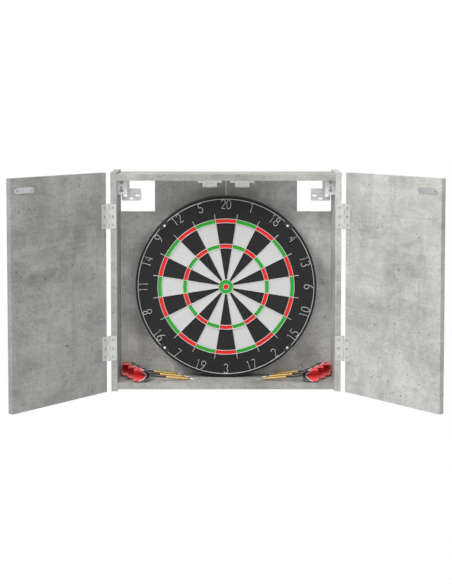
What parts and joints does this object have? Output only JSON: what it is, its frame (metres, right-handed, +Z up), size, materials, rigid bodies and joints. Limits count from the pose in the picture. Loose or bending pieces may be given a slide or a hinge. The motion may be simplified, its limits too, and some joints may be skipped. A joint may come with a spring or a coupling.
{
  "type": "dart board cabinet",
  "caption": "Shallow wall cabinet with two hinged doors around a bristle dart board, with darts lying on the shelf and hooks on steel wall plates.",
  "frame": {"origin": "on the wall plane, midway between the two lower slots of the wall plates", "axes": "+X right, +Z up, -Y out of the front of the cabinet away from the wall"},
  "size_m": [0.9924, 0.3204, 0.538],
  "materials": {
    "concrete_melamine": "matt concrete-pattern melamine over chipboard",
    "back_strip": "satin",
    "zinc_steel": "bright zinc plated",
    "hinge_steel": "satin light grey",
    "dowel_wood": "plain",
    "catch_plastic": "satin",
    "magnet": "matt",
    "chipboard": "raw",
    "sisal": "brushed fibre",
    "rim": "matt black",
    "sisal_black": "dyed fibre",
    "sisal_white": "fibre",
    "sisal_red": "dyed fibre",
    "sisal_green": "dyed fibre",
    "wire": "bright",
    "clip_plastic": "gloss",
    "pad_rubber": "matt",
    "dart_brass": "knurled",
    "dart_flight": "printed film"
  },
  "bodies": {
    "wall_plates": {"left_wall_plate": "zinc_steel", "right_wall_plate": "zinc_steel"},
    "cabinet": {"left_side": "concrete_melamine", "right_side": "concrete_melamine", "top_panel": "concrete_melamine", "bottom_panel": "concrete_melamine", "left_back_panel": "concrete_melamine", "right_back_panel": "concrete_melamine", "back_joint_strip": "back_strip", "board_hook": "zinc_steel", "cam_fittings": "zinc_steel", "corner_dowels": "dowel_wood", "left_catch": "catch_plastic", "right_catch": "catch_plastic", "catch_magnets": "magnet", "left_hanger": "zinc_steel", "right_hanger": "zinc_steel", "left_hanger_hook": "zinc_steel", "right_hanger_hook": "zinc_steel", "left_frame_leaves": "hinge_steel", "right_frame_leaves": "hinge_steel", "hinge_pins": "zinc_steel", "frame_screws": "zinc_steel"},
    "left_height_screw": {"left_height_screw": "zinc_steel"},
    "right_height_screw": {"right_height_screw": "zinc_steel"},
    "left_depth_screw": {"left_depth_screw": "zinc_steel"},
    "right_depth_screw": {"right_depth_screw": "zinc_steel"},
    "left_door": {"left_door": "concrete_melamine", "left_door_leaves": "hinge_steel", "left_door_screws": "zinc_steel", "left_strike_plate": "zinc_steel"},
    "right_door": {"right_door": "concrete_melamine", "right_door_leaves": "hinge_steel", "right_door_screws": "zinc_steel", "right_strike_plate": "zinc_steel"},
    "board_bush": {"hanging_bush": "clip_plastic"},
    "board": {"board_backing": "chipboard", "board_core": "sisal", "rim_band": "rim", "black_sisal": "sisal_black", "white_sisal": "sisal_white", "red_sisal": "sisal_red", "green_sisal": "sisal_green", "spider": "wire", "ring_clips": "clip_plastic", "hanging_screw": "zinc_steel", "back_pads": "pad_rubber"},
    "number_ring": {"number_ring": "wire"},
    "left_front_dart": {"left_front_dart_barrel": "dart_brass", "left_front_dart_flight": "dart_flight"},
    "left_middle_dart": {"left_middle_dart_barrel": "dart_brass", "left_middle_dart_flight": "dart_flight"},
    "left_back_dart": {"left_back_dart_barrel": "dart_brass", "left_back_dart_flight": "dart_flight"},
    "right_front_dart": {"right_front_dart_barrel": "dart_brass", "right_front_dart_flight": "dart_flight"},
    "right_middle_dart": {"right_middle_dart_barrel": "dart_brass", "right_middle_dart_flight": "dart_flight"},
    "right_back_dart": {"right_back_dart_barrel": "dart_brass", "right_back_dart_flight": "dart_flight"}
  },
  "joints": [
    {"name": "cabinet_lift", "type": "slide", "parent": "wall_plates", "child": "cabinet", "axis": [0, 0, 1], "range_m": [0, 0.012]},
    {"name": "door_left", "type": "hinge", "parent": "cabinet", "child": "left_door", "pos_m": [-0.286, -0.1175, 0], "axis": [0, 0, -1], "range_deg": [-134, 46]},
    {"name": "door_right", "type": "hinge", "parent": "cabinet", "child": "right_door", "pos_m": [0.286, -0.1175, 0], "axis": [0, 0, 1], "range_deg": [-134, 46]},
    {"name": "hanger_left_height_turn", "type": "hinge", "parent": "cabinet", "child": "left_height_screw", "pos_m": [-0.256, -0.08, 0.0276], "axis": [0, -1, 0], "continuous": true},
    {"name": "hanger_left_depth_turn", "type": "hinge", "parent": "cabinet", "child": "left_depth_screw", "pos_m": [-0.256, -0.08, 0.0493], "axis": [0, -1, 0], "continuous": true},
    {"name": "hanger_right_height_turn", "type": "hinge", "parent": "cabinet", "child": "right_height_screw", "pos_m": [0.256, -0.08, 0.0276], "axis": [0, -1, 0], "continuous": true},
    {"name": "hanger_right_depth_turn", "type": "hinge", "parent": "cabinet", "child": "right_depth_screw", "pos_m": [0.256, -0.08, 0.0493], "axis": [0, -1, 0], "continuous": true},
    {"name": "board_lift", "type": "slide", "parent": "cabinet", "child": "board_bush", "axis": [0, 0, 1], "range_m": [0, 0.012]},
    {"name": "board_turn", "type": "hinge", "parent": "board_bush", "child": "board", "pos_m": [0, -0.03, -0.215], "axis": [0, -1, 0], "continuous": true},
    {"name": "number_ring_turn", "type": "hinge", "parent": "board", "child": "number_ring", "pos_m": [0, -0.058, -0.215], "axis": [0, -1, 0], "continuous": true},
    {"name": "dart_left_front", "type": "slide", "parent": "cabinet", "child": "left_front_dart", "axis": [0, 0, 1], "range_m": [0, 0.015]},
    {"name": "dart_left_middle", "type": "slide", "parent": "cabinet", "child": "left_middle_dart", "axis": [0, 0, 1], "range_m": [0, 0.015]},
    {"name": "dart_left_back", "type": "slide", "parent": "cabinet", "child": "left_back_dart", "axis": [0, 0, 1], "range_m": [0, 0.015]},
    {"name": "dart_right_front", "type": "slide", "parent": "cabinet", "child": "right_front_dart", "axis": [0, 0, 1], "range_m": [0, 0.015]},
    {"name": "dart_right_middle", "type": "slide", "parent": "cabinet", "child": "right_middle_dart", "axis": [0, 0, 1], "range_m": [0, 0.015]},
    {"name": "dart_right_back", "type": "slide", "parent": "cabinet", "child": "right_back_dart", "axis": [0, 0, 1], "range_m": [0, 0.015]}
  ]
}
